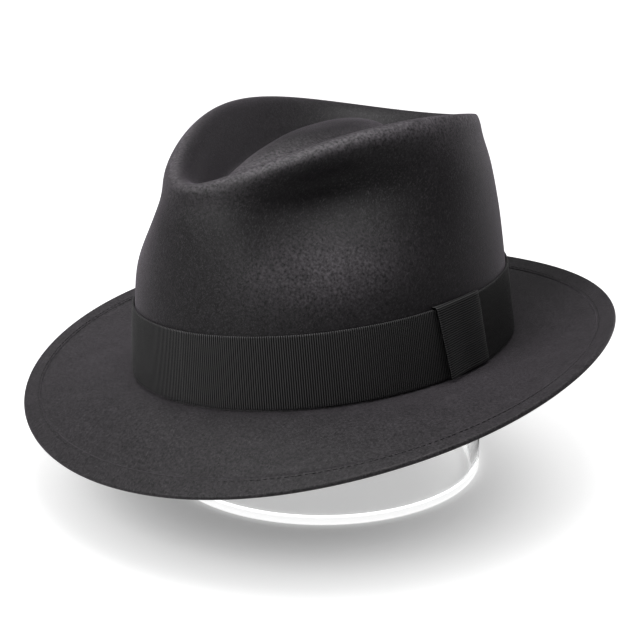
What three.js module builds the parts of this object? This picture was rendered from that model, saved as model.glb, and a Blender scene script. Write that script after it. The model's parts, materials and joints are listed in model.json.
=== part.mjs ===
// A felt fedora with a teardrop crease, a grosgrain ribbon band and a wrapped ribbon tab,
// resting on a plain clear tube stand.
// Millimetres, +Z up. The front of the hat is towards -Y and the wearer's left is +X.
import * as THREE from 'three';

// Driving dimensions: the felt
const crownLength = 203.4; // outside of the crown where it meets the brim, front to back
const crownWidth = 167.8; // the same from side to side
const crownHeight = 115; // highest part of the ridge over the brim
const feltThickness = 1.9;
const brimWidth = 52.8; // crown to edge, measured along the slope at the sides
const frontExtra = 6.3; // how much wider the brim is at the front than at the back, halved
const sideExtra = 5.7; // how much wider it is at the sides than on the centre line, halved
const frontDrop = 25; // front edge under the foot of the crown
const backRise = 11.6; // back edge over the foot of the crown
const sideRise = 6.7; // side edges over the foot of the crown
const brimCurl = 1.5; // power of the brim's curve from crown to edge
const footRadius = 1.2; // inner corner between crown and brim
const weltWidth = 8.5; // turned-over edge, as it shows from above
const weltRise = 0.6;
const weltStep = 0.6; // width of the small slope at the turned edge's inner side
const edgeRadius = (feltThickness + weltRise) / 2;

// Driving dimensions: the ribbon
const ribbonHeight = 33;
const ribbonThickness = 1;
const ribbonLift = 1.1; // lower edge of the band over the brim
const ribbonGap = 0.3; // between felt and band, and between band and tab
const tabThickness = 1;
const tabAngle = 88.3; // middle of the tab, in degrees from the front to the wearer's left
const tabShort = 0.5; // how far the tab's foot ends over the band's lower edge
const tabLean = 1.6; // degrees that the tab's foot lies further back than its fold

// Driving dimensions: the stand and how the hat sits on it
const standRadius = 77.5;
const standWall = 4;
const standHeight = 101.5;
const rimBevel = 0.5;
const seatGap = 0.5; // between the tube's rim and the felt over it
const hatPitch = -0.4; // degrees, front of the hat down where positive
const hatRoll = -4.9; // degrees, wearer's left up where negative
const hatShift = new THREE.Vector2(2.2, 2.6); // middle of the crown's foot from the tube's axis

// Facets
const meridians = 64;
const tabFacets = 8;
const standFacets = 72;
const degrees = Math.PI / 180;

// Rings round the crown, from its foot over the ridge to the middle of the crease. The reaches
// front and back are shares of half the crown's length, width a share of half its width, and the
// heights shares of its height. Narrow draws the front in and swells the back.
const ringColumns = ['front', 'back', 'width', 'narrow', 'highFront', 'highSide', 'highBack', 'steps'];
const ringRows = [
  [1.000, 1.000, 1.000, -0.04, 0.000, 0.000, 0.000, 1], // foot
  [0.995, 0.995, 0.990, -0.04, 0.087, 0.087, 0.087, 1],
  [0.980, 0.980, 0.965, -0.03, 0.296, 0.296, 0.296, 1], // top of the band
  [0.960, 0.960, 0.935, -0.01, 0.500, 0.500, 0.500, 2], // bulge
  [0.930, 0.930, 0.865, 0.04, 0.680, 0.720, 0.680, 3], // pinch
  [0.905, 0.885, 0.785, 0.14, 0.780, 0.870, 0.780, 2], // shoulder
  [0.898, 0.845, 0.720, 0.30, 0.840, 0.960, 0.840, 2],
  [0.855, 0.805, 0.665, 0.42, 0.858, 1.000, 0.865, 2], // ridge
  [0.790, 0.760, 0.590, 0.43, 0.835, 0.980, 0.850, 2], // inner lip
  [0.720, 0.700, 0.490, 0.40, 0.790, 0.890, 0.810, 2], // inner wall
  [0.660, 0.630, 0.385, 0.38, 0.775, 0.810, 0.790, 2], // bottom of the crease
  [0.580, 0.520, 0.280, 0.34, 0.830, 0.820, 0.825, 2], // foot of the raised middle
  [0.420, 0.400, 0.170, 0.20, 0.885, 0.885, 0.895, 1],
  [0.200, 0.200, 0.080, 0.10, 0.930, 0.930, 0.935, 1],
  [0.000, 0.000, 0.000, 0.00, 0.940, 0.940, 0.940, 0], // top of the raised middle
];

// Hollows pressed into the crown: angle from the front in degrees, the ring they lie on, how far
// they spread both ways, and depth as a share of half the crown's width. Each is on both sides.
const dentColumns = ['angle', 'ring', 'spreadAngle', 'spreadRing', 'depth'];
const dentRows = [
  [58, 4.35, 19, 0.72, 0.25], // pinch under the ridge
];

// Where the brim has its rings, as shares of its width
const brimShares = [0.12, 0.3, 0.5, 0.7];
const footSteps = 3;
const edgeTurns = [45, 90, 135]; // degrees round the rounded edge, from the upper to the under face

function namedRows(columns, rows) {
  return rows.map((row) => Object.fromEntries(columns.map((column, index) => [column, row[index]])));
}

const rings = namedRows(ringColumns, ringRows);
const dents = namedRows(dentColumns, dentRows);

// One ring's point at an angle counted from the front
function ringPoint(ring, angle) {
  const along = Math.cos(angle);
  const across = Math.sin(angle);
  const reach = (ring.front + ring.back) / 2 * crownLength / 2;
  const middle = (ring.back - ring.front) / 2 * crownLength / 2;
  const end = along > 0 ? ring.highFront : ring.highBack;
  const height = ring.highSide + (end - ring.highSide) * along * along;
  return new THREE.Vector3(
    ring.width * crownWidth / 2 * across * (1 - ring.narrow * along),
    middle - reach * along,
    height * crownHeight,
  );
}

// Smooth curve through four neighbouring values
function blend(before, start, end, after, share) {
  const pull = (end - before) / 2;
  const leave = (after - start) / 2;
  const rest = 1 - share;
  return start * rest * rest * (1 + 2 * share) + end * share * share * (3 - 2 * share)
    + pull * share * rest * rest - leave * share * share * rest;
}

// Point on the crown's outer face, where place counts rings from the foot
function crownPoint(place, angle) {
  const first = Math.min(Math.floor(place), rings.length - 2);
  const share = place - first;
  const near = [-1, 0, 1, 2].map((step) => {
    const index = Math.min(Math.max(first + step, 0), rings.length - 1);
    return ringPoint(rings[index], angle);
  });
  const point = new THREE.Vector3(
    blend(near[0].x, near[1].x, near[2].x, near[3].x, share),
    blend(near[0].y, near[1].y, near[2].y, near[3].y, share),
    blend(near[0].z, near[1].z, near[2].z, near[3].z, share),
  );
  const fromFront = Math.abs(Math.atan2(Math.sin(angle), Math.cos(angle))) / degrees;
  for (const dent of dents) {
    const round = (fromFront - dent.angle) / dent.spreadAngle;
    const up = (place - dent.ring) / dent.spreadRing;
    const push = dent.depth * crownWidth / 2 * Math.exp(-(round * round + up * up) / 2);
    point.x -= push * Math.sin(angle);
    point.y += push * Math.cos(angle) / 2;
  }
  return point;
}

// Ring place at which the crown's wall has a height, found by halving
function placeAtHeight(height) {
  let low = 0;
  let high = 3;
  for (let turn = 0; turn < 30; turn += 1) {
    const middle = (low + high) / 2;
    if (crownPoint(middle, 0).z < height) {
      low = middle;
    } else {
      high = middle;
    }
  }
  return (low + high) / 2;
}

// Direction that leaves the foot of the crown at a right angle, level with the brim
function outward(angle) {
  const step = 0.01;
  const before = ringPoint(rings[0], angle - step);
  const after = ringPoint(rings[0], angle + step);
  return new THREE.Vector3(after.y - before.y, before.x - after.x, 0).normalize();
}

// Height of the brim's edge over the foot of the crown, round the hat
function edgeHeight(angle) {
  const even = (backRise - frontDrop) / 2;
  const swing = (backRise + frontDrop) / 2;
  return (even + sideRise) / 2 - swing * Math.cos(angle) + (even - sideRise) / 2 * Math.cos(2 * angle);
}

// Level width of the brim at an angle
function brimReach(angle) {
  const slope = edgeHeight(angle);
  return Math.sqrt(brimWidth * brimWidth - slope * slope)
    + frontExtra * Math.cos(angle) - sideExtra * Math.cos(2 * angle);
}

// Point on the brim's upper face, at a level distance from the crown
function brimPoint(distance, angle) {
  const foot = ringPoint(rings[0], angle);
  const share = distance / brimReach(angle);
  const inCorner = Math.max(footRadius - distance, 0);
  const corner = footRadius - Math.sqrt(footRadius * footRadius - inCorner * inCorner);
  foot.addScaledVector(outward(angle), distance);
  foot.z = edgeHeight(angle) * Math.pow(share, brimCurl) + corner;
  return foot;
}

// The felt's upper face from the middle of the crown to the edge of the brim, one function of the
// angle for each ring of vertices, with how far the face stands over plain felt there
function feltRings() {
  const list = [];
  const footPlace = placeAtHeight(footRadius);
  for (let index = rings.length - 2; index >= 0; index -= 1) {
    for (let step = rings[index].steps; step >= 1; step -= 1) {
      const place = index + (step - 1) / rings[index].steps;
      if (place > footPlace) {
        list.push({ at: (angle) => crownPoint(place, angle), rise: 0, under: true });
      }
    }
  }
  for (let step = 0; step <= footSteps; step += 1) {
    const distance = footRadius * (1 - Math.cos(step / footSteps * Math.PI / 2));
    list.push({ at: (angle) => brimPoint(distance, angle), rise: 0, under: true });
  }
  for (const share of brimShares) {
    list.push({ at: (angle) => brimPoint(brimReach(angle) * share, angle), rise: 0, under: true });
  }
  const weltPlaces = [
    { back: weltWidth + weltStep, rise: 0, under: true },
    { back: weltWidth, rise: weltRise, under: false },
    { back: weltWidth / 2, rise: weltRise, under: true },
    { back: edgeRadius, rise: weltRise, under: true },
  ];
  for (const place of weltPlaces) {
    list.push({
      at: (angle) => brimPoint(brimReach(angle) - place.back, angle),
      rise: place.rise,
      under: place.under,
    });
  }
  return list;
}

// A closed body from rings of points, a single point at each end, and faces pointing out
function closedRings(startPoint, ringList, endPoint) {
  const count = ringList[0].length;
  const positions = [];
  const faces = [];
  const add = (point) => positions.push(point.x, point.y, point.z);
  add(startPoint);
  ringList.forEach((ring) => ring.forEach(add));
  add(endPoint);
  const last = positions.length / 3 - 1;
  const vertex = (ring, index) => 1 + ring * count + index % count;
  for (let index = 0; index < count; index += 1) {
    faces.push(0, vertex(0, index), vertex(0, index + 1));
    faces.push(last, vertex(ringList.length - 1, index + 1), vertex(ringList.length - 1, index));
    for (let ring = 0; ring + 1 < ringList.length; ring += 1) {
      faces.push(vertex(ring, index), vertex(ring + 1, index), vertex(ring + 1, index + 1));
      faces.push(vertex(ring, index), vertex(ring + 1, index + 1), vertex(ring, index + 1));
    }
  }
  return solid(positions, faces);
}

function solid(positions, faces) {
  const geometry = new THREE.BufferGeometry();
  geometry.setAttribute('position', new THREE.Float32BufferAttribute(positions, 3));
  geometry.setIndex(faces);
  geometry.computeVertexNormals();
  return geometry;
}

// Felt body: upper face, rounded edge, and the under face one felt thickness below
function makeFelt() {
  const list = feltRings();
  const angles = Array.from({ length: meridians }, (unused, index) => index / meridians * 2 * Math.PI);
  const faceAt = list.map((ring) => angles.map((angle) => ring.at(angle)));
  const top = crownPoint(rings.length - 1, 0);
  const normalAt = faceAt.map((ring, row) => ring.map((point, index) => {
    const inner = row === 0 ? top : faceAt[row - 1][index];
    const outer = faceAt[Math.min(row + 1, faceAt.length - 1)][index];
    const before = ring[(index + meridians - 1) % meridians];
    const after = ring[(index + 1) % meridians];
    const down = outer.clone().sub(inner);
    const round = after.clone().sub(before);
    return down.cross(round).normalize();
  }));
  const upper = faceAt.map((ring, row) => ring.map((point, index) => (
    point.clone().addScaledVector(normalAt[row][index], list[row].rise))));
  const lower = faceAt.map((ring, row) => ring.map((point, index) => (
    point.clone().addScaledVector(normalAt[row][index], -feltThickness))));
  const edgeRow = list.length - 1;
  const edge = edgeTurns.map((turn) => angles.map((angle, index) => {
    const normal = normalAt[edgeRow][index];
    const sideways = outward(angle);
    sideways.addScaledVector(normal, -sideways.dot(normal)).normalize();
    return upper[edgeRow][index].clone()
      .addScaledVector(normal, -edgeRadius + edgeRadius * Math.cos(turn * degrees))
      .addScaledVector(sideways, edgeRadius * Math.sin(turn * degrees));
  }));
  const under = lower.filter((ring, row) => list[row].under).reverse();
  const underTop = top.clone();
  underTop.z -= feltThickness;
  return {
    geometry: closedRings(top, [...upper, ...edge, ...under], underTop),
    lining: [...under, angles.map(() => underTop)],
  };
}

// Point beside the crown's wall: a height over the foot and a distance out from the felt
function wallPoint(angle, height, distance) {
  const step = 0.01;
  const place = placeAtHeight(height);
  const point = crownPoint(place, angle);
  const before = crownPoint(place, angle - step);
  const after = crownPoint(place, angle + step);
  const out = new THREE.Vector3(after.y - before.y, before.x - after.x, 0).normalize();
  return point.addScaledVector(out, distance);
}

// A strip laid against the crown's wall, from a section of distances and heights. Lean turns it
// back by that many degrees from the band's upper to its lower edge.
function makeStrip(section, angles, isRing, lean) {
  const positions = [];
  const faces = [];
  const count = section.length;
  for (const angle of angles) {
    for (const corner of section) {
      const turn = lean * degrees * (0.5 - (corner.y - ribbonLift) / ribbonHeight);
      const point = wallPoint(angle + turn, corner.y, corner.x);
      positions.push(point.x, point.y, point.z);
    }
  }
  const spans = isRing ? angles.length : angles.length - 1;
  for (let span = 0; span < spans; span += 1) {
    const next = (span + 1) % angles.length;
    for (let index = 0; index < count; index += 1) {
      const other = (index + 1) % count;
      faces.push(span * count + index, next * count + index, next * count + other);
      faces.push(span * count + index, next * count + other, span * count + other);
    }
  }
  if (!isRing) {
    const end = (angles.length - 1) * count;
    for (const [first, second, third] of THREE.ShapeUtils.triangulateShape(section, [])) {
      faces.push(first, second, third);
      faces.push(end + first, end + third, end + second);
    }
  }
  return solid(positions, faces);
}

// Band: the ribbon's section is three points high, so that it follows the wall
function makeBand() {
  const inner = ribbonGap;
  const outer = ribbonGap + ribbonThickness;
  const levels = [ribbonLift, ribbonLift + ribbonHeight / 2, ribbonLift + ribbonHeight];
  const section = [
    ...levels.map((level) => new THREE.Vector2(inner, level)),
    ...levels.reverse().map((level) => new THREE.Vector2(outer, level)),
  ];
  const angles = Array.from({ length: meridians }, (unused, index) => index / meridians * 2 * Math.PI);
  return makeStrip(section.reverse(), angles, true, 0);
}

// Tab: as wide as the ribbon, wrapped upright over the band and folded in over its upper edge
function makeTab() {
  const inner = ribbonGap * 2 + ribbonThickness;
  const outer = inner + tabThickness;
  const low = ribbonLift + tabShort;
  const fold = ribbonLift + ribbonHeight + ribbonGap;
  const section = [
    new THREE.Vector2(inner, low),
    new THREE.Vector2(outer, low),
    new THREE.Vector2(outer, fold + tabThickness),
    new THREE.Vector2(ribbonGap, fold + tabThickness),
    new THREE.Vector2(ribbonGap, fold),
    new THREE.Vector2(inner, fold),
  ];
  const halfSpan = ribbonHeight / crownLength;
  const angles = Array.from({ length: tabFacets + 1 }, (unused, index) => (
    tabAngle * degrees + halfSpan * (2 * index / tabFacets - 1)));
  return makeStrip(section, angles, false, tabLean);
}

// Stand: a plain tube, open at both ends
function makeStand() {
  const inner = standRadius - standWall;
  const profile = [
    new THREE.Vector2(inner, 0),
    new THREE.Vector2(standRadius, 0),
    new THREE.Vector2(standRadius, standHeight - rimBevel),
    new THREE.Vector2(standRadius - rimBevel, standHeight),
    new THREE.Vector2(inner + rimBevel, standHeight),
    new THREE.Vector2(inner, standHeight - rimBevel),
    new THREE.Vector2(inner, 0),
  ];
  const tube = new THREE.LatheGeometry(profile, standFacets);
  tube.rotateX(Math.PI / 2);
  return tube;
}

// How high the hat's foot lies when its inside comes down on the tube's rim
function seatHeight(lining, tilt) {
  const reach = standRadius + seatGap;
  const samples = 10;
  let height = 0;
  for (let row = 0; row + 1 < lining.length; row += 1) {
    for (let index = 0; index < lining[row].length; index += 1) {
      for (let step = 0; step <= samples; step += 1) {
        const point = lining[row][index].clone().lerp(lining[row + 1][index], step / samples);
        point.applyEuler(tilt);
        if (Math.hypot(point.x + hatShift.x, point.y + hatShift.y) < reach) {
          height = Math.max(height, standHeight + seatGap - point.z);
        }
      }
    }
  }
  return height;
}

function namedMesh(name, geometry, color, roughness, extra) {
  const material = new THREE.MeshStandardMaterial({ color, roughness, metalness: 0, ...extra });
  const mesh = new THREE.Mesh(geometry, material);
  mesh.name = name;
  return mesh;
}

const felt = makeFelt();
const tilt = new THREE.Euler(hatPitch * degrees, hatRoll * degrees, 0, 'XYZ');

const hat = new THREE.Group();
hat.add(namedMesh('felt_body', felt.geometry, 0x302e31, 0.95, {}));
hat.add(namedMesh('ribbon_band', makeBand(), 0x1d1c1e, 0.7, {}));
hat.add(namedMesh('ribbon_tab', makeTab(), 0x1d1c1e, 0.7, {}));
hat.rotation.copy(tilt);
hat.position.set(hatShift.x, hatShift.y, seatHeight(felt.lining, tilt));

const fedora = new THREE.Group();
fedora.add(hat);
const clear = { transparent: true, opacity: 0.25 };
fedora.add(namedMesh('stand_tube', makeStand(), 0xe8eef0, 0.08, clear));

// The origin is on the floor under the middle of the whole object
fedora.updateMatrixWorld(true);
const reachBox = new THREE.Box3().setFromObject(fedora, true);
fedora.position.x = -(reachBox.min.x + reachBox.max.x) / 2;
fedora.position.y = -(reachBox.min.y + reachBox.max.y) / 2;
fedora.updateMatrixWorld(true);

export default fedora;
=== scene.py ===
import json
import math

import bpy
import numpy as np
from mathutils import Matrix, Vector

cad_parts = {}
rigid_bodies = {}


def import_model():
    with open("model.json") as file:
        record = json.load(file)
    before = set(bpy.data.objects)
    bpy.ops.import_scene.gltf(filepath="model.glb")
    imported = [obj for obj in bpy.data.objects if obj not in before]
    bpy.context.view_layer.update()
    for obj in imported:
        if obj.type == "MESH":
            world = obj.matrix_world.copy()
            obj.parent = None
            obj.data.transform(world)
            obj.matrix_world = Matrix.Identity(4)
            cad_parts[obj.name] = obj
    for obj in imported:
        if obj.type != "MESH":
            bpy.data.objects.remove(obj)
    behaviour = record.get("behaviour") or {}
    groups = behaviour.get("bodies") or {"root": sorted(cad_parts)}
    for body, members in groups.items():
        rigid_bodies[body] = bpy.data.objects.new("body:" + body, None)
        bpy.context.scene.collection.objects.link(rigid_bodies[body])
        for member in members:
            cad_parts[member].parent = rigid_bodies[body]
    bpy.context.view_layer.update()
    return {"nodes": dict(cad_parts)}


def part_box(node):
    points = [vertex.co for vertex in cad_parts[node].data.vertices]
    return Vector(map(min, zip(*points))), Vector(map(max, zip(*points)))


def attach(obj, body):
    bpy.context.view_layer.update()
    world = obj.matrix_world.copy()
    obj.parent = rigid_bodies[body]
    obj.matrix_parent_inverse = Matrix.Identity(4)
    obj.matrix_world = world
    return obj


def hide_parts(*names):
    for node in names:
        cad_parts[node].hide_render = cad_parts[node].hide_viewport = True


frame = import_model()
print("frame loaded:", sorted(frame["nodes"]))

mm = 0.001  # shapes are worked out in millimetres and placed in metres

# Sizes of the felt, in the hat's own frame: the middle of the crown's foot, front towards -Y
felt = {
    "crownLength": 203.4,
    "crownWidth": 167.8,
    "crownHeight": 115.0,
    "thickness": 1.9,
    "brimWidth": 52.8,
    "frontExtra": 6.3,
    "sideExtra": 5.7,
    "frontDrop": 25.0,
    "backRise": 11.6,
    "sideRise": 6.7,
    "brimCurl": 1.5,
    "footRadius": 1.2,
    "weltWidth": 8.5,
    "weltRise": 0.6,
    "weltStep": 0.6,
    "pitch": -0.4,  # degrees
    "roll": -4.9,
    "meridians": 336,
    "stitchLine": 7.6,  # distance of the brim's stitching from its edge
    "stitchGroove": 0.08,
    "grooveWidth": 0.4,
    "sway": 0.21,  # how far the hand-blocked felt wanders from its even shape
    "middleRows": 22,  # rows of points on the raised middle, the crown, its foot and the brim
    "crownRows": 76,
    "footRows": 18,
    "cornerRows": 6,
    "brimRows": 34,
    "edgeRows": 11,
}

# Rings round the crown from its foot over the ridge to the middle of the crease, as shares of half
# its length, half its width and its height
ringRows = (  # front, back, width, narrow, highFront, highSide, highBack
    (1.000, 1.000, 1.000, -0.04, 0.000, 0.000, 0.000),  # foot
    (0.995, 0.995, 0.990, -0.04, 0.087, 0.087, 0.087),
    (0.980, 0.980, 0.965, -0.03, 0.296, 0.296, 0.296),  # top of the band
    (0.960, 0.960, 0.935, -0.01, 0.500, 0.500, 0.500),  # bulge
    (0.930, 0.930, 0.865, 0.04, 0.680, 0.720, 0.680),  # pinch
    (0.905, 0.885, 0.785, 0.14, 0.780, 0.870, 0.780),  # shoulder
    (0.898, 0.845, 0.720, 0.30, 0.840, 0.960, 0.840),
    (0.855, 0.805, 0.665, 0.42, 0.858, 1.000, 0.865),  # ridge
    (0.790, 0.760, 0.590, 0.43, 0.835, 0.980, 0.850),  # inner lip
    (0.720, 0.700, 0.490, 0.40, 0.790, 0.890, 0.810),  # inner wall
    (0.660, 0.630, 0.385, 0.38, 0.775, 0.810, 0.790),  # bottom of the crease
    (0.580, 0.520, 0.280, 0.34, 0.830, 0.820, 0.825),  # foot of the raised middle
    (0.420, 0.400, 0.170, 0.20, 0.885, 0.885, 0.895),
    (0.200, 0.200, 0.080, 0.10, 0.930, 0.930, 0.935),
    (0.000, 0.000, 0.000, 0.00, 0.940, 0.940, 0.940),  # top of the raised middle
)
ringTable = np.array(ringRows)
bulgeRing, middleRing = 3, 11  # the bulge's ring and the one at the foot of the raised middle

# The pinch at each side of the front: degrees from the front, rings from the foot, and its depth as
# a share of half the crown's width
pinch = {"angle": 58, "ring": 4.35, "spreadAngle": 19, "spreadRing": 0.72, "depth": 0.25}
turnStep = 0.01  # radians between two points that give a ring's direction


def unit(vectors):
    return vectors / np.maximum(np.linalg.norm(vectors, axis=-1, keepdims=True), 1e-12)


def bell(angle, ring, spot):
    # 1 at a spot on the crown, fading to 0 round it, alike on both sides of the hat
    fromFront = np.degrees(np.abs(np.arctan2(np.sin(angle), np.cos(angle))))
    turn = (fromFront - spot["angle"]) / spot["spreadAngle"]
    up = (ring - spot["ring"]) / spot["spreadRing"]
    return np.exp(-(turn**2 + up**2) / 2)


def ringPoints(rows, angle):
    front, back, width, narrow, highFront, highSide, highBack = np.moveaxis(rows, -1, 0)
    along, across = np.cos(angle), np.sin(angle)
    reach = (front + back) / 2 * felt["crownLength"] / 2
    middle = (back - front) / 2 * felt["crownLength"] / 2
    end = np.where(along > 0, highFront, highBack)
    height = highSide + (end - highSide) * along**2
    x = width * felt["crownWidth"] / 2 * across * (1 - narrow * along)
    return np.stack([x, middle - reach * along, height * felt["crownHeight"]], -1)


def crownPoints(place, angle):
    # The crown's outer face, a smooth curve through the rings, where place counts them from the foot
    place, angle = np.broadcast_arrays(np.asarray(place, float), np.asarray(angle, float))
    first = np.minimum(np.floor(place).astype(int), len(ringRows) - 2)
    share = (place - first)[..., None]
    near = [
        ringPoints(ringTable[np.clip(first + step, 0, len(ringRows) - 1)], angle)
        for step in (-1, 0, 1, 2)
    ]
    pull, leave = (near[2] - near[0]) / 2, (near[3] - near[1]) / 2
    rest = 1 - share
    points = (
        near[1] * rest**2 * (1 + 2 * share)
        + near[2] * share**2 * (3 - 2 * share)
        + pull * share * rest**2
        - leave * share**2 * rest
    )
    push = pinch["depth"] * felt["crownWidth"] / 2 * bell(angle, place, pinch)
    points[..., 0] -= push * np.sin(angle)
    points[..., 1] += push * np.cos(angle) / 2
    return points


edgeRadius = (felt["thickness"] + felt["weltRise"]) / 2  # of the brim's rounded edge
wallPlaces = np.linspace(0, bulgeRing, 601)  # places up the crown's wall, and their heights
wallHeights = crownPoints(wallPlaces, 0.0)[..., 2]


def sidewaysOf(way):
    # Level and square to a way round the crown, pointing out
    return unit(np.stack([way[..., 1], -way[..., 0], np.zeros_like(way[..., 0])], -1))


def outward(angle):
    foot = ringTable[0]
    return sidewaysOf(ringPoints(foot, angle + turnStep) - ringPoints(foot, angle - turnStep))


def edgeHeight(angle):
    # The brim's edge over the crown's foot: down at the front, up at the back and a little at the sides
    even = (felt["backRise"] - felt["frontDrop"]) / 2
    swing = (felt["backRise"] + felt["frontDrop"]) / 2
    side = felt["sideRise"]
    return (even + side) / 2 - swing * np.cos(angle) + (even - side) / 2 * np.cos(2 * angle)


def brimReach(angle):
    level = np.sqrt(felt["brimWidth"] ** 2 - edgeHeight(angle) ** 2)
    return level + felt["frontExtra"] * np.cos(angle) - felt["sideExtra"] * np.cos(2 * angle)


def brimPoints(distance, angle):
    # The brim's upper face, a distance out from the crown's foot
    distance, angle = np.broadcast_arrays(np.asarray(distance, float), np.asarray(angle, float))
    radius = felt["footRadius"]
    inCorner = np.maximum(radius - distance, 0)
    corner = radius - np.sqrt(np.maximum(radius**2 - inCorner**2, 0))
    foot = ringPoints(ringTable[0], angle)
    foot = foot + outward(angle) * distance[..., None]
    share = np.maximum(distance, 0) / brimReach(angle)
    foot[..., 2] = edgeHeight(angle) * share ** felt["brimCurl"] + corner
    return foot


def wallPoints(angle, height, distance):
    # Points beside the crown's wall: a height over the foot and a distance out from the felt
    angle, height, distance = np.broadcast_arrays(angle, height, distance)
    place = np.interp(height, wallHeights, wallPlaces)
    way = crownPoints(place, angle + turnStep) - crownPoints(place, angle - turnStep)
    return crownPoints(place, angle) + sidewaysOf(way) * distance[..., None]


def gridNormals(points):
    # Normals of a grid whose rows are closed rings
    down = np.empty_like(points)
    down[1:-1] = points[2:] - points[:-2]
    down[0] = points[1] - points[0]
    down[-1] = points[-1] - points[-2]
    along = np.roll(points, -1, 1) - np.roll(points, 1, 1)
    return unit(np.cross(down, along))


# Where the hat lies in the frame: its tilt, then moved so that the felt's box is the CAD felt's box
pitched = Matrix.Rotation(math.radians(felt["pitch"]), 3, "X")
rolled = Matrix.Rotation(math.radians(felt["roll"]), 3, "Y")
tilt = np.array(pitched @ rolled)
hatPlace = np.zeros(3)  # set once the felt's points are known


def placed(points):
    return (points @ tilt.T + hatPlace) * mm


def newPiece(name, points, faces, materials, faceMaterials=None, uv=None):
    # One smooth-shaded mesh object, with a UV map when there is one value for each point
    mesh = bpy.data.meshes.new(name)
    mesh.from_pydata([tuple(point) for point in points.reshape(-1, 3).tolist()], [], faces)
    for material in materials:
        mesh.materials.append(material)
    mesh.polygons.foreach_set("use_smooth", [True] * len(mesh.polygons))
    if faceMaterials is not None:
        mesh.polygons.foreach_set("material_index", faceMaterials)
    if uv is not None:
        layer = mesh.uv_layers.new(name="UVMap")
        loops = np.zeros(len(mesh.loops), np.int32)
        mesh.loops.foreach_get("vertex_index", loops)
        layer.data.foreach_set("uv", uv.reshape(-1, 2)[loops].astype(np.float32).ravel())
    mesh.validate()
    mesh.update()
    piece = bpy.data.objects.new(name, mesh)
    bpy.context.scene.collection.objects.link(piece)
    return piece


def gridFaces(rows, columns, closedRows=False, closedColumns=True, offset=0, flipped=False):
    # Quads of a grid of vertices, row after row, turned over where they would face inwards
    rowSpans = rows if closedRows else rows - 1
    columnSpans = columns if closedColumns else columns - 1
    row, column = np.meshgrid(np.arange(rowSpans), np.arange(columnSpans), indexing="ij")
    nextRow, nextColumn = (row + 1) % rows, (column + 1) % columns
    faces = np.stack(
        [
            row * columns + column,
            nextRow * columns + column,
            nextRow * columns + nextColumn,
            row * columns + nextColumn,
        ],
        -1,
    )
    faces = faces[..., ::-1] if flipped else faces
    return (faces.reshape(-1, 4) + offset).tolist()


# Shader node groups


def newGroup(name, inputs, outputs):
    group = bpy.data.node_groups.new(name, "ShaderNodeTree")
    for label, kind, value in inputs:
        socket = group.interface.new_socket(label, in_out="INPUT", socket_type=kind)
        if value is not None:
            socket.default_value = value
    for label, kind in outputs:
        group.interface.new_socket(label, in_out="OUTPUT", socket_type=kind)
    return group, group.nodes.new("NodeGroupInput"), group.nodes.new("NodeGroupOutput")


def feed(tree, socket, value):
    # A socket's input, by a link or as a plain value
    if isinstance(value, bpy.types.NodeSocket):
        tree.links.new(value, socket)
    else:
        socket.default_value = value


def math2(tree, operation, first, second=0.0):
    node = tree.nodes.new("ShaderNodeMath")
    node.operation = operation
    feed(tree, node.inputs[0], first)
    feed(tree, node.inputs[1], second)
    return node.outputs[0]


def mixColour(tree, factor, first, second, blend="MIX"):
    node = tree.nodes.new("ShaderNodeMix")
    node.data_type = "RGBA"
    node.blend_type = blend
    feed(tree, node.inputs[0], factor)
    feed(tree, node.inputs[6], first)  # the first of its two colour sockets
    feed(tree, node.inputs[7], second)
    return node.outputs[2]  # its colour


def noise(tree, vector, scale, detail):
    node = tree.nodes.new("ShaderNodeTexNoise")
    feed(tree, node.inputs["Vector"], vector)
    feed(tree, node.inputs["Scale"], scale)
    feed(tree, node.inputs["Detail"], detail)
    return node.outputs["Fac"]


def vectorMath(tree, operation, first, second, socket=1):
    node = tree.nodes.new("ShaderNodeVectorMath")
    node.operation = operation
    feed(tree, node.inputs[0], first)
    feed(tree, node.inputs[socket], second)
    return node.outputs["Value" if operation == "DISTANCE" else "Vector"]


def clamped(tree, value):
    node = tree.nodes.new("ShaderNodeClamp")
    tree.links.new(value, node.inputs[0])
    return node.outputs[0]


def buildSoftMottle():
    # Cloudy change of tone: a colour made lighter and darker by a share
    group, source, result = newGroup(
        "softMottle",
        [
            ("Color", "NodeSocketColor", (0.05, 0.05, 0.05, 1)),
            ("Scale", "NodeSocketFloat", 60.0),
            ("Amount", "NodeSocketFloat", 0.2),
        ],
        [("Color", "NodeSocketColor")],
    )
    place = group.nodes.new("ShaderNodeTexCoord").outputs["Object"]
    clouds = noise(group, place, source.outputs["Scale"], 4.0)
    swing = math2(group, "MULTIPLY", math2(group, "SUBTRACT", clouds, 0.5), 2.0)
    swing = math2(group, "MULTIPLY", swing, source.outputs["Amount"])
    share = math2(group, "ADD", swing, 1.0)
    scaled = vectorMath(group, "SCALE", source.outputs["Color"], share, "Scale")
    group.links.new(scaled, result.inputs["Color"])
    return group


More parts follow.
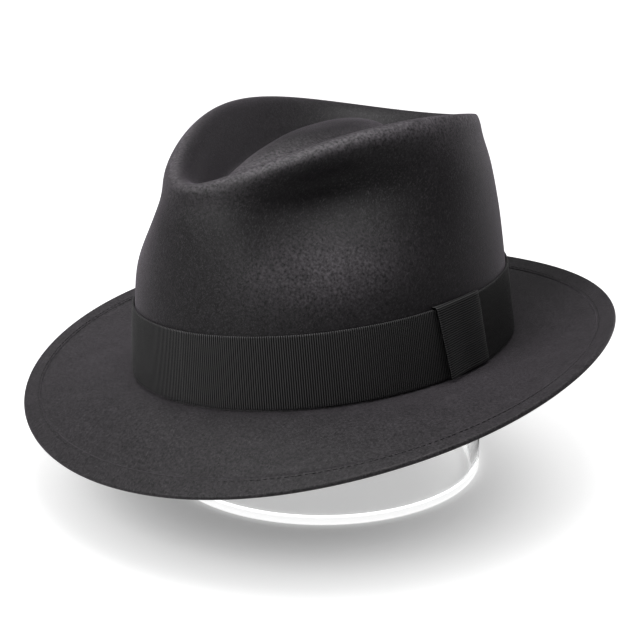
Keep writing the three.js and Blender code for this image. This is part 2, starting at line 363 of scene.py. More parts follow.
def buildFibres():
    # Fine short fibres that lie every way: a height for a bump and a mask of the lightest ones
    group, source, result = newGroup(
        "fineFibres",
        [("Scale", "NodeSocketFloat", 900.0), ("Stretch", "NodeSocketFloat", 6.0)],
        [("Height", "NodeSocketFloat"), ("Light Fibres", "NodeSocketFloat")],
    )
    place = group.nodes.new("ShaderNodeTexCoord").outputs["Object"]
    heights = []
    for turn in (0.4, 1.5, 2.6):  # three lays of fibres, each turned its own way
        laid = group.nodes.new("ShaderNodeMapping")
        laid.inputs["Rotation"].default_value = (turn, turn * 1.7, turn * 0.6)
        group.links.new(place, laid.inputs["Vector"])
        squeeze = group.nodes.new("ShaderNodeCombineXYZ")
        squeeze.inputs[1].default_value = 1.0
        squeeze.inputs[2].default_value = 1.0
        group.links.new(math2(group, "DIVIDE", 1.0, source.outputs["Stretch"]), squeeze.inputs[0])
        stretched = vectorMath(group, "MULTIPLY", laid.outputs[0], squeeze.outputs[0])
        heights.append(noise(group, stretched, source.outputs["Scale"], 2.0))
    highest = math2(group, "MAXIMUM", math2(group, "MAXIMUM", heights[0], heights[1]), heights[2])
    group.links.new(highest, result.inputs["Height"])
    light = math2(group, "MULTIPLY", math2(group, "SUBTRACT", highest, 0.60), 7.0)
    group.links.new(clamped(group, light), result.inputs["Light Fibres"])
    return group


def buildRibbing():
    # Masks of the ribbon's ribs, from the rib count in U: their crests, and their ends at its edges,
    # which carry the ribbon's painted highlights
    group, source, result = newGroup(
        "ribbing",
        [("Sharpness", "NodeSocketFloat", 2.5), ("Edge", "NodeSocketFloat", 0.475)],
        [("Crest", "NodeSocketFloat"), ("Edge Loops", "NodeSocketFloat")],
    )
    split = group.nodes.new("ShaderNodeSeparateXYZ")
    group.links.new(group.nodes.new("ShaderNodeUVMap").outputs[0], split.inputs[0])
    wave = math2(group, "MULTIPLY", split.outputs["X"], 2 * math.pi)
    wave = math2(group, "MULTIPLY", math2(group, "COSINE", wave), -0.5)
    crest = math2(group, "POWER", math2(group, "ADD", wave, 0.5), source.outputs["Sharpness"])
    group.links.new(crest, result.inputs["Crest"])
    fromMiddle = math2(group, "ABSOLUTE", math2(group, "SUBTRACT", split.outputs["Y"], 0.5))
    nearEdge = math2(group, "SUBTRACT", fromMiddle, source.outputs["Edge"])
    nearEdge = clamped(group, math2(group, "MULTIPLY", nearEdge, 60.0))
    group.links.new(math2(group, "MULTIPLY", nearEdge, crest), result.inputs["Edge Loops"])
    return group


def buildRadialFall():
    # Tone that changes with the distance from a point on the floor
    group, source, result = newGroup(
        "radialFall",
        [
            ("Middle", "NodeSocketVector", (0, 0, 0)),
            ("Near", "NodeSocketColor", (0.2, 0.2, 0.2, 1)),
            ("Far", "NodeSocketColor", (1, 1, 1, 1)),
            ("Start", "NodeSocketFloat", 0.05),
            ("End", "NodeSocketFloat", 0.4),
        ],
        [("Color", "NodeSocketColor")],
    )
    place = group.nodes.new("ShaderNodeTexCoord").outputs["Object"]
    ramp = group.nodes.new("ShaderNodeMapRange")
    ramp.interpolation_type = "SMOOTHSTEP"
    distance = vectorMath(group, "DISTANCE", place, source.outputs["Middle"])
    group.links.new(distance, ramp.inputs["Value"])
    group.links.new(source.outputs["Start"], ramp.inputs["From Min"])
    group.links.new(source.outputs["End"], ramp.inputs["From Max"])
    colour = mixColour(group, ramp.outputs[0], source.outputs["Near"], source.outputs["Far"])
    group.links.new(colour, result.inputs["Color"])
    return group


radialFall = buildRadialFall()
softMottle = buildSoftMottle()
fineFibres = buildFibres()
ribbing = buildRibbing()


def newMaterial(name):
    # A new material, its node tree and its Principled shader
    material = bpy.data.materials.new(name)
    material.use_nodes = True
    tree = material.node_tree
    shader = next(node for node in tree.nodes if node.type == "BSDF_PRINCIPLED")
    return material, tree, shader


def placeGroup(tree, group, **values):
    node = tree.nodes.new("ShaderNodeGroup")
    node.node_tree = group
    for name, value in values.items():
        node.inputs[name].default_value = value
    return node


def mixSurface(tree, factor, first, second):
    # The material shows the first shader where the factor is 0 and the second where it is 1
    mix = tree.nodes.new("ShaderNodeMixShader")
    tree.links.new(factor, mix.inputs[0])
    tree.links.new(first.outputs[0], mix.inputs[1])
    tree.links.new(second.outputs[0], mix.inputs[2])
    surface = next(node for node in tree.nodes if node.type == "OUTPUT_MATERIAL")
    tree.links.new(mix.outputs[0], surface.inputs["Surface"])


def addBump(tree, shader, height, strength, distance):
    bump = tree.nodes.new("ShaderNodeBump")
    bump.inputs["Strength"].default_value = strength
    bump.inputs["Distance"].default_value = distance
    tree.links.new(height, bump.inputs["Height"])
    tree.links.new(bump.outputs[0], shader.inputs["Normal"])


# Felt body

feltLook = {
    "darkColour": (0.0042, 0.0036, 0.0043, 1),
    "lightColour": (0.125, 0.114, 0.125, 1),
    "plainTone": 0.11,  # between the two, on the crown
    # Painted light and shade on the brim: lighter at the sides, darkest at the back where the crown's
    # shadow falls
    "brimTurns": (0, 40, 75, 137, 160, 180),  # degrees from the front, for the brim's painted light and shade
    "paintedBrimTones": (0.21, 0.21, 0.33, 0.29, 0.06, 0.04),
    "fibreColour": (0.20, 0.19, 0.197, 1),
    "fibreShare": 0.32,
    "mottleScale": 110.0,
    "mottleAmount": 0.45,
    "tuftScale": 800.0,
    "tuftAmount": 2.0,
    "fibreScale": 2100.0,
    "fibreStretch": 5.0,
    "napBump": 0.75,
    "napDepth": 0.0003,
    "roughness": 0.5,
    "gloss": 0.5,
    "sheen": 0.34,
    "sheenRoughness": 0.4,
    "sheenTint": (0.90, 0.80, 0.92, 1),
}

# Painted light and shade on the crown: lighter where light falls on the bulge, ridge, nose and raised
# middle, darker in the hollow, at the side, the front and in the crease; degrees from the front, rings
# from the foot
paintedLightPlaces = (
    {"angle": 47, "ring": 3.05, "spreadAngle": 16, "spreadRing": 0.42, "amount": 0.66},  # bulge
    {"angle": 70, "ring": 6.6, "spreadAngle": 60, "spreadRing": 0.42, "amount": 0.90},  # ridge
    {"angle": 120, "ring": 5.9, "spreadAngle": 22, "spreadRing": 0.8, "amount": 0.45},  # its rear
    {"angle": 60, "ring": 11.5, "spreadAngle": 60, "spreadRing": 0.6, "amount": 1.00},  # middle
    {"angle": 52, "ring": 4.8, "spreadAngle": 28, "spreadRing": 0.8, "amount": -0.14},  # hollow
    {"angle": 105, "ring": 3.0, "spreadAngle": 24, "spreadRing": 1.4, "amount": -0.09},  # side
    {"angle": 0, "ring": 2.6, "spreadAngle": 26, "spreadRing": 1.4, "amount": -0.05},  # front
    {"angle": 12, "ring": 5.5, "spreadAngle": 16, "spreadRing": 0.7, "amount": 0.22},  # nose
    {"angle": 20, "ring": 9.3, "spreadAngle": 70, "spreadRing": 0.9, "amount": -0.12},  # crease
)


def paintedLightTone(place, angle):
    # The crown's tone with its painted light and shade, from 0 for the dark colour to 1 for the light
    # one
    paintedTone = np.full(np.broadcast(place, angle).shape, feltLook["plainTone"])
    for spot in paintedLightPlaces:
        paintedTone = paintedTone + spot["amount"] * bell(angle, place, spot)
    return np.clip(paintedTone, 0, 1)


def paintedBrimTone(angle):
    # Painted light and shade on the brim, by the turn from the front
    fromFront = np.degrees(np.minimum(angle, 2 * np.pi - angle))
    return np.interp(fromFront, feltLook["brimTurns"], feltLook["paintedBrimTones"])


def feltMaterial():
    material, tree, shader = newMaterial("woolFelt")
    look = feltLook
    mottle = placeGroup(tree, softMottle, Scale=look["mottleScale"], Amount=look["mottleAmount"])
    # Painted light and shade: the tone of each point mixes the dark and light colours
    paintedTone = tree.nodes.new("ShaderNodeAttribute")
    paintedTone.attribute_name = "paintedLightTone"
    paintedLightColour = mixColour(tree, paintedTone.outputs["Fac"], look["darkColour"], look["lightColour"])
    tree.links.new(paintedLightColour, mottle.inputs["Color"])
    tufts = placeGroup(tree, softMottle, Scale=look["tuftScale"], Amount=look["tuftAmount"])
    tree.links.new(mottle.outputs["Color"], tufts.inputs["Color"])
    fibres = placeGroup(tree, fineFibres, Scale=look["fibreScale"], Stretch=look["fibreStretch"])
    share = math2(tree, "MULTIPLY", fibres.outputs["Light Fibres"], look["fibreShare"])
    colour = mixColour(tree, share, tufts.outputs["Color"], look["fibreColour"])
    tree.links.new(colour, shader.inputs["Base Color"])
    shader.inputs["Roughness"].default_value = look["roughness"]
    shader.inputs["Specular IOR Level"].default_value = look["gloss"]
    shader.inputs["Sheen Weight"].default_value = look["sheen"]
    shader.inputs["Sheen Roughness"].default_value = look["sheenRoughness"]
    shader.inputs["Sheen Tint"].default_value = look["sheenTint"]
    addBump(tree, shader, fibres.outputs["Height"], look["napBump"], look["napDepth"])
    return material


def feltSway(points):
    # Small slow unevenness of felt that was blocked by hand: waves 11 to 26 cm long
    x, y, z = points[..., 0], points[..., 1], points[..., 2]
    wave = np.sin(x / 23 + 1.3) * np.sin(y / 31 + 0.4) + 0.6 * np.sin(z / 17 + x / 41 + 2.1)
    return felt["sway"] * wave


def smooth(share):
    return share * share * (3 - 2 * share)


def feltFace(angle):
    # The felt's outer face from the crown's top to the brim's edge: its points row by row, how far
    # each row stands up for the turned edge, and the places of the crown's rows
    last = len(ringRows) - 1
    footPlace = np.interp(felt["footRadius"], wallHeights, wallPlaces)
    tip = 0.06  # share of a ring that the fan of triangles at the very top takes
    places = np.concatenate([
        np.linspace(last - tip, middleRing, felt["middleRows"])[:-1],
        np.linspace(middleRing, bulgeRing, felt["crownRows"])[:-1],
        np.linspace(bulgeRing, footPlace, felt["footRows"])[:-1],
    ])
    rows = [crownPoints(place, angle) for place in places]
    for turn in np.linspace(0, np.pi / 2, felt["cornerRows"]):
        rows.append(brimPoints(felt["footRadius"] * (1 - math.cos(turn)), angle))
    reach, start = brimReach(angle), felt["footRadius"]
    flatEnd = felt["weltWidth"] + felt["weltStep"]
    for share in np.linspace(0.04, 1, felt["brimRows"]) ** 1.1:  # a little closer near the foot
        rows.append(brimPoints(start + (reach - flatEnd - start) * share, angle))
    rise = [0.0] * len(rows)
    beforeStitches = felt["stitchLine"] - 2 * felt["grooveWidth"]
    for back in np.concatenate([
        np.linspace(flatEnd, felt["weltWidth"], 5)[1:],
        np.linspace(felt["weltWidth"], beforeStitches, 7)[1:],
        np.linspace(beforeStitches, edgeRadius, 10)[1:],
    ]):
        climb = smooth(np.clip((flatEnd - back) / felt["weltStep"], 0, 1)) * felt["weltRise"]
        fromStitches = (back - felt["stitchLine"]) / felt["grooveWidth"]
        rows.append(brimPoints(reach - back, angle))
        rise.append(climb - felt["stitchGroove"] * math.exp(-(fromStitches**2)))
    return np.array(rows), np.array(rise), places


def swayOf(face, crownRows):
    # The unevenness of each point, fading out at the tip, under the ribbon and at the brim's foot
    row = np.arange(len(face))[:, None]
    fromTip = np.minimum(1, row / 8)
    bandMiddle, bandReach, fade = 18, 22, 12  # mm over the foot, mm, mm or rows
    fromBand = np.clip((np.abs(face[..., 2] - bandMiddle) - bandReach) / fade, 0, 1)
    fromFoot = np.clip((row - crownRows - 8) / fade, 0, 1)
    return feltSway(face) * fromTip * np.where(row < crownRows, fromBand, fromFoot)


def buildFelt():
    count = felt["meridians"]
    angle = np.arange(count) / count * 2 * np.pi
    face, rise, places = feltFace(angle)
    normals = gridNormals(face)
    sway = swayOf(face, len(places))
    upper = face + normals * (rise[:, None] + sway)[..., None]
    normal = normals[-1]
    sideways = outward(angle)
    sideways = unit(sideways - normal * np.sum(sideways * normal, -1, keepdims=True))
    edge = [
        upper[-1] + (normal * (math.cos(turn) - 1) + sideways * math.sin(turn)) * edgeRadius
        for turn in np.linspace(0, np.pi, felt["edgeRows"] + 2)[1:-1]
    ]
    under = (face + normals * (sway - felt["thickness"])[..., None])[::-1]
    keep = np.unique(np.append(np.arange(0, len(under), 2), len(under) - 1))  # every other row
    rings = np.concatenate([upper, np.array(edge), under[keep]])
    top = crownPoints(len(ringRows) - 1, 0.0)
    bottom = top - np.array([0, 0, felt["thickness"]])
    points = np.concatenate([rings.reshape(-1, 3), [top, bottom]])
    faces = gridFaces(len(rings), count)
    topIndex, bottomIndex = len(points) - 2, len(points) - 1
    lastRing = (len(rings) - 1) * count
    for index in range(count):
        after = (index + 1) % count
        faces.append([topIndex, index, after])
        faces.append([bottomIndex, lastRing + after, lastRing + index])
    # Painted light and shade for each point: the brim's by its turn from the front, the crown's by its
    # spots
    paintedTone = np.append(np.tile(paintedBrimTone(angle), len(rings)), [feltLook["plainTone"]] * 2)
    onCrown = paintedLightTone(places[:, None], angle)
    paintedTone[: onCrown.size] = onCrown.ravel()
    return points, faces, paintedTone


feltPoints, feltFaces, feltPaintedTone = buildFelt()
turned = feltPoints @ tilt.T
low, high = (np.array(corner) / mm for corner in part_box("felt_body"))
hatPlace = (low + high) / 2 - (turned.min(0) + turned.max(0)) / 2
feltBody = newPiece("feltBody", placed(feltPoints), feltFaces, [feltMaterial()])
toneLayer = feltBody.data.attributes.new("paintedLightTone", "FLOAT", "POINT")
toneLayer.data.foreach_set("value", feltPaintedTone.astype(np.float32))
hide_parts("felt_body")
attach(feltBody, "root")
print("felt body:", len(feltFaces), "faces, foot at", [round(float(v), 2) for v in hatPlace])


# Stitching of the brim's turned edge

stitching = {
    "pitch": 3.0,
    "length": 2.1,
    "width": 0.42,
    "endShare": 0.35,  # of its width that a stitch keeps at its ends
    "sink": 0.10,  # how deep its ends lie in the felt, and how high its middle arches
    "arch": 0.26,
    "colour": (0.060, 0.057, 0.060, 1),
    "mottleScale": 900.0,
    "mottleAmount": 0.4,
    "roughness": 0.6,
}


def threadMaterial():
    material, tree, shader = newMaterial("sewingThread")
    look = stitching
    mottle = placeGroup(
        tree, softMottle, Color=look["colour"], Scale=look["mottleScale"], Amount=look["mottleAmount"]
    )
    tree.links.new(mottle.outputs["Color"], shader.inputs["Base Color"])
    shader.inputs["Roughness"].default_value = look["roughness"]
    return material


def walkedAlong(line):
    # The length walked along a line of points, at each of them
    return np.append(0, np.cumsum(np.linalg.norm(np.diff(line, axis=0), axis=1)))


def buildStitches():
    fine = np.linspace(0, 2 * np.pi, 2001)
    walked = walkedAlong(brimPoints(brimReach(fine) - felt["stitchLine"], fine))
    count = int(round(walked[-1] / stitching["pitch"]))
    points, faces = [], []
    around, lengthwise = 6, 7  # points round a stitch and along it
    for index in range(count):
        middle = (index + 0.5) / count * walked[-1]
        spots = middle + np.linspace(-0.5, 0.5, lengthwise) * stitching["length"]
        angle = np.interp(spots, walked, fine)
        reach = brimReach(angle) - felt["stitchLine"]
        centre, inner = brimPoints(reach, angle), brimPoints(reach - 0.5, angle)
        way = unit(np.gradient(centre, axis=0))
        side = unit(centre - inner)
        normal = unit(np.cross(side, way))
        normal = normal * np.sign(normal[:, 2:3])
        arch = 1 - np.linspace(-1, 1, lengthwise) ** 2
        rise = felt["weltRise"] - felt["stitchGroove"] - stitching["sink"] + stitching["arch"] * arch
        centre = centre + normal * rise[:, None]
        ends = stitching["endShare"]
        radius = stitching["width"] / 2 * (ends + (1 - ends) * np.sqrt(np.maximum(arch, 0)))
        turns = np.arange(around) / around * 2 * np.pi
        rings = (
            centre[:, None]
            + side[:, None] * np.cos(turns)[None, :, None] * radius[:, None, None]
            + normal[:, None] * np.sin(turns)[None, :, None] * radius[:, None, None]
        )
        start = len(points) * lengthwise * around
        points.append(rings.reshape(-1, 3))
        faces += gridFaces(lengthwise, around, offset=start)
        faces.append([start + turn for turn in range(around)])
        faces.append([start + (lengthwise - 1) * around + turn for turn in reversed(range(around))])
    return np.concatenate(points), faces


stitchPoints, stitchFaces = buildStitches()
brimStitching = newPiece("brimStitching", placed(stitchPoints), stitchFaces, [threadMaterial()])
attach(brimStitching, "root")
print("brim stitching:", len(stitchFaces), "faces")


# Ribbon

ribbon = {
    "height": 33.0,
    "thickness": 1.0,
    "lift": 1.1,
    "gap": 0.3,
    "ribPitch": 1.05,
    "ribDepth": 0.42,
    "selvedgeLoop": 0.28,  # how far each rib's end stands out at the ribbon's two edges
    "samples": 8,  # points round one rib
    "bandRows": 8,  # points up the band's outer face
    "tabAngle": 88.3,
    "tabShort": 0.5,
    "tabLean": 1.6,
    "tabThickness": 1.0,
    "tabLiftTop": 1.6,  # how far the tab's front edge stands off, at its fold and at its foot
    "tabLiftFoot": 3.4,
    "tabLoop": 0.64,  # how far its ribs' ends stand out at its two sides
    "foldRadius": 0.9,  # of the fold over the band's upper edge
}
ribbonLook = {
    "colour": (0.0015, 0.0015, 0.0015, 1),
    "crestHighlightColour": (0.120, 0.118, 0.120, 1),
    "edgeLoopHighlightColour": (0.13, 0.128, 0.13, 1),
    # painted shade for the tab's two open sides
    "foldShadeColour": (0.0012, 0.0012, 0.0012, 1),
    "foldMottleScale": 900.0,
    "foldMottle": 0.5,
    "foldRoughness": 0.9,
    "foldGloss": 0.05,
    "mottleScale": 160.0,
    "mottleAmount": 0.3,
    "fibreScale": 2600.0,
    "fibreStretch": 5.0,
    "threadBump": 0.25,
    "threadDepth": 0.00012,
    "roughness": 0.45,
    "gloss": 0.3,
    "sheen": 0.08,
}


def ribbonMaterial():
    material, tree, shader = newMaterial("grosgrainRibbon")
    look = ribbonLook
    mottle = placeGroup(
        tree, softMottle, Color=look["colour"], Scale=look["mottleScale"], Amount=look["mottleAmount"]
    )
    fibres = placeGroup(tree, fineFibres, Scale=look["fibreScale"], Stretch=look["fibreStretch"])
    ribs = placeGroup(tree, ribbing)
    # Painted highlights: a lighter colour on the rib crests and on the rib ends at the edges, for the
    # light they catch
    colour = mixColour(tree, ribs.outputs["Crest"], mottle.outputs["Color"], look["crestHighlightColour"])
    colour = mixColour(tree, ribs.outputs["Edge Loops"], colour, look["edgeLoopHighlightColour"])
    tree.links.new(colour, shader.inputs["Base Color"])
    shader.inputs["Roughness"].default_value = look["roughness"]
    shader.inputs["Specular IOR Level"].default_value = look["gloss"]
    shader.inputs["Sheen Weight"].default_value = look["sheen"]
    addBump(tree, shader, fibres.outputs["Height"], look["threadBump"], look["threadDepth"])
    return material


def foldShadeMaterial():
    # Painted shade: a near-black surface on the tab's two open sides, standing for the shade in the gap
    # under the tab
    material, tree, shader = newMaterial("ribbonFoldShade")
    look = ribbonLook
    dark = placeGroup(
        tree,
        softMottle,
        Color=look["foldShadeColour"],
        Scale=look["foldMottleScale"],
        Amount=look["foldMottle"],
    )
    tree.links.new(dark.outputs["Color"], shader.inputs["Base Color"])
    shader.inputs["Roughness"].default_value = look["foldRoughness"]
    shader.inputs["Specular IOR Level"].default_value = look["foldGloss"]
    return material


def ribShape(phase):
    # A rib's rounded top, from 0 in the groove to 1 on its crest
    share = phase - np.floor(phase)
    return np.sqrt(np.maximum(1 - (2 * share - 1) ** 2, 0))


def selvedgeRow(middle, turn):
    # A row on the ribbon's rounded edge: its height and distance, its shares of rib depth and loop
    half = ribbon["thickness"] / 2
    sine, cosine = math.sin(turn), math.cos(turn)
    return (middle + half * sine, ribbon["gap"] + half + half * cosine, max(0.0, cosine), abs(sine))


def buildBand():
    low, high = ribbon["lift"], ribbon["lift"] + ribbon["height"]
    middle, half = (low + high) / 2, ribbon["thickness"] / 2
    inner, outer = ribbon["gap"], ribbon["gap"] + ribbon["thickness"]
    fine = np.linspace(0, 2 * np.pi, 1441)
    walked = walkedAlong(wallPoints(fine, middle, outer))
    ribs = int(round(walked[-1] / ribbon["ribPitch"]))
    count = ribs * ribbon["samples"]
    spot = np.arange(count) / count
    angle = np.interp(spot * walked[-1], walked, fine)
    crest = ribShape(spot * ribs)
    rows = [(low + half, inner, 0.0, 0.0)]
    rows += [selvedgeRow(low + half, turn) for turn in np.radians([-160, -120, -90, -60, -25])]
    for share in np.linspace(0.03, 0.97, ribbon["bandRows"]):
        rows.append((low + ribbon["height"] * share, outer, 1.0, 0.0))
    rows += [selvedgeRow(high - half, turn) for turn in np.radians([25, 60, 90, 120, 160])]
    rows += [(high - half, inner, 0.0, 0.0), (middle, inner, 0.0, 0.0)]
    wander = 0.06 * np.sin(angle * 9 + 0.7) + 0.04 * np.sin(angle * 17 + 2.0)  # slow, by hand
    points, uvs = [], []
    for height, distance, depth, loop in rows:
        sideways = -1 if height < middle else 1
        level = height + sideways * loop * ribbon["selvedgeLoop"] * (crest - 0.6)
        out = distance + depth * (ribbon["ribDepth"] * (crest - 1) + wander)
        points.append(wallPoints(angle, level, out))
        uvs.append(np.stack([spot * ribs, np.full(count, (height - low) / ribbon["height"])], -1))
    points = np.array(points)
    faces = gridFaces(len(rows), count, closedRows=True, flipped=True)
    return points, faces, np.array(uvs)


bandPoints, bandFaces, bandUv = buildBand()
satinRibs = ribbonMaterial()
ribbonBand = newPiece("ribbonBand", placed(bandPoints), bandFaces, [satinRibs], uv=bandUv)
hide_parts("ribbon_band")
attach(ribbonBand, "root")
print("ribbon band:", len(bandFaces), "faces")


def tabPath(low, high, inner):
    # Height, distance and share of rib depth, from behind the tab's foot up and over its fold
    gap, thick, radius = ribbon["gap"], ribbon["tabThickness"], ribbon["foldRadius"]
    half, outer = thick / 2, inner + thick
    path = [(low + 4.0, inner + 0.1, 0.0), (low + half, inner + 0.1, 0.0)]
    for turn in np.radians([-150, -120, -90, -60, -30]):
        path.append((low + half + half * math.sin(turn), inner + half + half * math.cos(turn), 0.3))
    ribs = int(round((high - low) / ribbon["ribPitch"]))
    for height in np.linspace(low + half, high - radius, ribs * ribbon["samples"] + 1):
        path.append((height, outer, 1.0))
    for turn in np.radians([15, 30, 45, 60, 75, 90]):
        out = outer - radius + radius * math.cos(turn)
        path.append((high - radius + radius * math.sin(turn), out, 1.0))
    path += [(high, gap + 0.2, 0.6), (high - half, gap, 0.0), (high - 1.0, gap, 0.0)]
    path += [(high - thick, gap + 0.3, 0.0), (high - thick, inner, 0.0)]
    return np.array(path)


def buildTab():
    # The ribbon's end wrapped upright over the band, ribs lying level
    low = ribbon["lift"] + ribbon["tabShort"]
    high = ribbon["lift"] + ribbon["height"] + ribbon["gap"] + ribbon["tabThickness"]
    inner = ribbon["gap"] * 2 + ribbon["thickness"]
    path = tabPath(low, high, inner)
    walked = walkedAlong(path[:, :2])
    crest = ribShape(walked / ribbon["ribPitch"])
    # From the tab's front edge at -1 to its rear edge at 1, where both edges are rounded and looped
    across = np.concatenate([[-1, -0.995, -0.98], np.linspace(-0.95, 0.95, 13), [0.98, 0.995, 1]])
    rounded = 0.35 * np.clip((np.abs(across) - 0.95) / 0.05, 0, 1) ** 2
    looped = np.where(np.abs(across) > 0.99, np.sign(across), 0.0)
    lifted = np.clip((0.1 - across) / 1.1, 0, 1) ** 1.6
    halfSpan = ribbon["height"] / felt["crownLength"]
    points, uvs = [], []
    for (height, distance, depth), ridge, way in zip(path, crest, walked):
        upShare = (height - low) / (high - low)
        lift = lifted * np.interp(upShare, [0, 1], [ribbon["tabLiftFoot"], ribbon["tabLiftTop"]])
        if distance < inner:  # behind the fold, where the tab lies against the felt
            lift = lift * np.clip((high - 0.4 - height) / 3.0, 0.0, 1)
        out = distance + lift + depth * (ribbon["ribDepth"] * (ridge - 1) - rounded)
        loop = looped * ribbon["tabLoop"] * (ridge - 0.5) / ribbon["height"]
        turn = math.radians(ribbon["tabLean"]) * (0.5 - (height - ribbon["lift"]) / ribbon["height"])
        angle = math.radians(ribbon["tabAngle"]) + halfSpan * (across + loop * depth) + turn
        points.append(wallPoints(angle, height, out))
        uvs.append(np.stack([np.full_like(across, way / ribbon["ribPitch"]), (across + 1) / 2], -1))
    points = np.array(points)
    rows, columns = points.shape[:2]
    faces = gridFaces(rows, columns, closedRows=True, closedColumns=False, flipped=True)
    faces.append([row * columns for row in range(rows)])
    faces.append([row * columns + columns - 1 for row in reversed(range(rows))])
    shadedSides = [0] * (len(faces) - 2) + [1, 1]  # the two open sides of the fold, which get the painted shade
    return points, faces, shadedSides, np.array(uvs)


tabPoints, tabFaces, tabShadedSides, tabUv = buildTab()
ribbonTab = newPiece(
    "ribbonTab", placed(tabPoints), tabFaces, [satinRibs, foldShadeMaterial()], tabShadedSides, tabUv
)
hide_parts("ribbon_tab")
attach(ribbonTab, "root")
print("ribbon tab:", len(tabFaces), "faces")


# Clear tube

tube = {
    "wall": 4.0,
    "rim": 0.5,
    "segments": 256,
    "cutHeight": 3.6,  # how high the lower end is white, where it glows with painted light
    "cutPaintedGlow": 0.85,
    "cutColour": (0.95, 0.96, 0.96, 1),
    "cutMottleScale": 300.0,
    "cutMottle": 0.04,
    "cutRoughness": 0.35,
    "clearColour": (1.0, 1.0, 1.0, 1),
    "clearRoughness": 0.03,
    "lightBending": 1.49,  # index of refraction
    "shadowColour": (0.985, 0.99, 0.99, 1),
}


def clearMaterial():
    material, tree, shader = newMaterial("clearAcrylic")
    shader.inputs["Base Color"].default_value = tube["clearColour"]
    shader.inputs["Roughness"].default_value = tube["clearRoughness"]
    shader.inputs["IOR"].default_value = tube["lightBending"]
    shader.inputs["Transmission Weight"].default_value = 1.0
    rays = tree.nodes.new("ShaderNodeLightPath")
    passing = tree.nodes.new("ShaderNodeBsdfTransparent")
    passing.inputs[0].default_value = tube["shadowColour"]
    mixSurface(tree, rays.outputs["Is Shadow Ray"], shader, passing)  # light passes with little loss
    return material


def cutMaterial():
    material, tree, shader = newMaterial("sawnEdgePaintedGlow")
    mottle = placeGroup(
        tree,
        softMottle,
        Color=tube["cutColour"],
        Scale=tube["cutMottleScale"],
        Amount=tube["cutMottle"],
    )
    tree.links.new(mottle.outputs["Color"], shader.inputs["Base Color"])
    shader.inputs["Roughness"].default_value = tube["cutRoughness"]
    # Painted light: the sawn end glows white, even in the hat's shade
    shader.inputs["Emission Color"].default_value = (1, 1, 1, 1)
    shader.inputs["Emission Strength"].default_value = tube["cutPaintedGlow"]
    return material


def buildTube():
    low, high = (np.array(corner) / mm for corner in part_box("stand_tube"))
    centre = (low + high) / 2
    outer = (high[0] - low[0]) / 2
    inner = outer - tube["wall"]
    top = high[2] - low[2]
    rim = tube["rim"]
    profile = [(inner, 0.0), (outer, 0.0), (outer, tube["cutHeight"]), (outer, top / 2)]
    for middle, start in ((outer - rim, 0), (inner + rim, 90)):  # the upper end's rounded rims
        for turn in np.radians(np.linspace(start, start + 90, 5)):
            profile.append((middle + rim * math.cos(turn), top - rim + rim * math.sin(turn)))
    profile += [(inner, top / 2), (inner, tube["cutHeight"])]
    profile = np.array(profile)
    count = tube["segments"]
    turns = np.arange(count) / count * 2 * np.pi
    points = np.stack(
        [
            centre[0] + profile[:, None, 0] * np.cos(turns),
            centre[1] + profile[:, None, 0] * np.sin(turns),
            np.broadcast_to(profile[:, None, 1], (len(profile), count)),
        ],
        -1,
    )
    points[..., 2] += low[2]
    faces = gridFaces(len(profile), count, closedRows=True, flipped=True)
    cutRows = {0, 1, len(profile) - 1}  # the lower end and the two sides just over it, which glow with painted light
    materials = [1 if index // count in cutRows else 0 for index in range(len(faces))]
    return points, faces, materials


tubePoints, tubeFaces, tubeMaterials = buildTube()
clearTube = newPiece(
    "clearTube", tubePoints * mm, tubeFaces, [clearMaterial(), cutMaterial()], tubeMaterials
)
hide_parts("stand_tube")
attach(clearTube, "root")
print("clear tube:", len(tubeFaces), "faces")


# Floor, light and camera

studio = {
    "floorRadius": 6.0,
    "floorColour": (0.6, 0.6, 0.6, 1),
    "floorRoughness": 0.8,
    "floorGloss": 0.2,
    "bounceColour": (0.5, 0.5, 0.5, 1),
    "shadeMiddle": (0.004, -0.027, 0),  # the painted shadow under the hat, from near to far
    "paintedShadowNear": (0.24, 0.24, 0.24, 1),
    "glowFar": (0.98, 0.98, 0.98, 1),
    "fallStart": 0.05,
    "fallEnd": 0.165,
    "insidePaintedLight": (0.20, 0.20, 0.20, 1),  # painted light on the floor inside the clear tube
    "insideStart": 0.066,
    "insideEnd": 0.074,
    "worldStrength": 0.06,
    "backdropTone": 0.98,  # what the eye sees beyond the floor
    "lampDistance": 1.4,
    "lampSize": 0.7,
    "lampAim": (0, 0, 0.09),
}
softboxes = (  # turn from the camera towards the right of the view, climb in degrees, power in watts
    {"name": "frontLeftBox", "turn": -45, "climb": 38, "power": 5.8},
    {"name": "leftBox", "turn": -90, "climb": 30, "power": 1.5},
    {"name": "topBox", "turn": 0, "climb": 89.9, "power": 7.2},
    {"name": "backLeftBox", "turn": -145, "climb": 45, "power": 0.9},
    {"name": "backRightBox", "turn": 135, "climb": 3, "power": 1.3},
)
view = {
    "turn": 40.0,  # degrees from the front towards the wearer's left
    "climb": 20.05,
    "distance": 1.0,
    "side": -0.0011,
    "rise": 0.0678,
    "lens": 113.23,
}
tubeLow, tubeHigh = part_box("stand_tube")
tubeFoot = Vector(((tubeLow.x + tubeHigh.x) / 2, (tubeLow.y + tubeHigh.y) / 2, tubeLow.z))


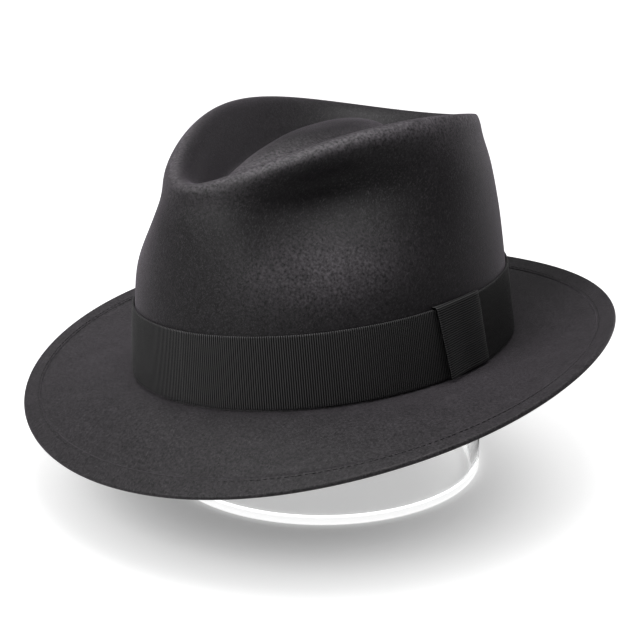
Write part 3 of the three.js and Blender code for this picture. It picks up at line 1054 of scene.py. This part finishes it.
def floorSurface():
    # Pale to the eye and through the clear tube, and plain grey to all other light, so that its
    # glow doesn't wash out the dark felt
    material, tree, shader = newMaterial("paleFloor")
    shader.inputs["Base Color"].default_value = studio["floorColour"]
    shader.inputs["Roughness"].default_value = studio["floorRoughness"]
    shader.inputs["Specular IOR Level"].default_value = studio["floorGloss"]
    # Painted shadow: the floor's glow is dimmer near the hat
    shade = placeGroup(
        tree,
        radialFall,
        Middle=studio["shadeMiddle"],
        Near=studio["paintedShadowNear"],
        Far=studio["glowFar"],
        Start=studio["fallStart"],
        End=studio["fallEnd"],
    )
    # Painted light: a brighter disc of glow on the floor inside the tube
    insideLightPool = placeGroup(
        tree,
        radialFall,
        Middle=(tubeFoot.x, tubeFoot.y, 0),
        Near=studio["insidePaintedLight"],
        Far=(0, 0, 0, 1),
        Start=studio["insideStart"],
        End=studio["insideEnd"],
    )
    glow = mixColour(tree, 1.0, shade.outputs[0], insideLightPool.outputs[0], "ADD")
    tree.links.new(glow, shader.inputs["Emission Color"])
    shader.inputs["Emission Strength"].default_value = 1.0
    plain = tree.nodes.new("ShaderNodeBsdfDiffuse")
    plain.inputs["Color"].default_value = studio["bounceColour"]
    rays = tree.nodes.new("ShaderNodeLightPath")
    mirrored = math2(tree, "SUBTRACT", 1.0, rays.outputs["Is Transmission Ray"])
    mirrored = math2(tree, "MULTIPLY", mirrored, rays.outputs["Is Glossy Ray"])
    bounced = math2(tree, "MAXIMUM", mirrored, rays.outputs["Is Diffuse Ray"])
    mixSurface(tree, bounced, shader, plain)
    return material


def addFloor():
    bpy.ops.mesh.primitive_circle_add(vertices=96, radius=studio["floorRadius"], fill_type="NGON")
    floor = bpy.context.object
    floor.name = "floor"
    floor.data.materials.append(floorSurface())


def addWorld():
    # A faint even light, but bright to the eye and through the clear tube
    world = bpy.data.worlds.new("studioWorld")
    bpy.context.scene.world = world
    world.use_nodes = True
    tree = world.node_tree
    sky = next(node for node in tree.nodes if node.type == "BACKGROUND")
    sky.inputs["Color"].default_value = (1, 1, 1, 1)
    rays = tree.nodes.new("ShaderNodeLightPath")
    seen = math2(tree, "MAXIMUM", rays.outputs["Is Camera Ray"], rays.outputs["Is Transmission Ray"])
    lifted = math2(tree, "MULTIPLY", seen, studio["backdropTone"] - studio["worldStrength"])
    tree.links.new(math2(tree, "ADD", lifted, studio["worldStrength"]), sky.inputs["Strength"])


def addSoftbox(softbox):
    lamp = bpy.data.lights.new(softbox["name"], "AREA")
    lamp.shape = "SQUARE"
    lamp.size = studio["lampSize"]
    lamp.energy = softbox["power"]
    holder = bpy.data.objects.new(softbox["name"], lamp)
    bpy.context.scene.collection.objects.link(holder)
    turn = math.radians(view["turn"] + softbox["turn"])
    climb = math.radians(softbox["climb"])
    way = Vector((math.sin(turn), -math.cos(turn), math.tan(climb))) * math.cos(climb)
    holder.location = way * studio["lampDistance"]
    aim = Vector(studio["lampAim"]) - holder.location
    holder.rotation_euler = aim.to_track_quat("-Z", "Y").to_euler()


def addCamera():
    # Upright, looking along the view's turn and climb, moved aside and up from the tube's foot
    turn, climb = math.radians(view["turn"]), math.radians(view["climb"])
    back = Vector((math.sin(turn), -math.cos(turn), math.tan(climb))) * math.cos(climb)
    right = Vector((math.cos(turn), math.sin(turn), 0))
    up = back.cross(right)
    camera = bpy.data.cameras.new("camera")
    camera.lens = view["lens"]
    camera.sensor_width = 36
    holder = bpy.data.objects.new("camera", camera)
    bpy.context.scene.collection.objects.link(holder)
    place = tubeFoot + back * view["distance"] + right * view["side"] + up * view["rise"]
    aim = Matrix((right, up, back)).transposed().to_quaternion()
    holder.matrix_world = Matrix.LocRotScale(place, aim, None)
    bpy.context.scene.camera = holder


addFloor()
addWorld()
for softbox in softboxes:
    addSoftbox(softbox)
addCamera()
bpy.context.scene.view_settings.view_transform = "Standard"
print("floor, light and camera set")
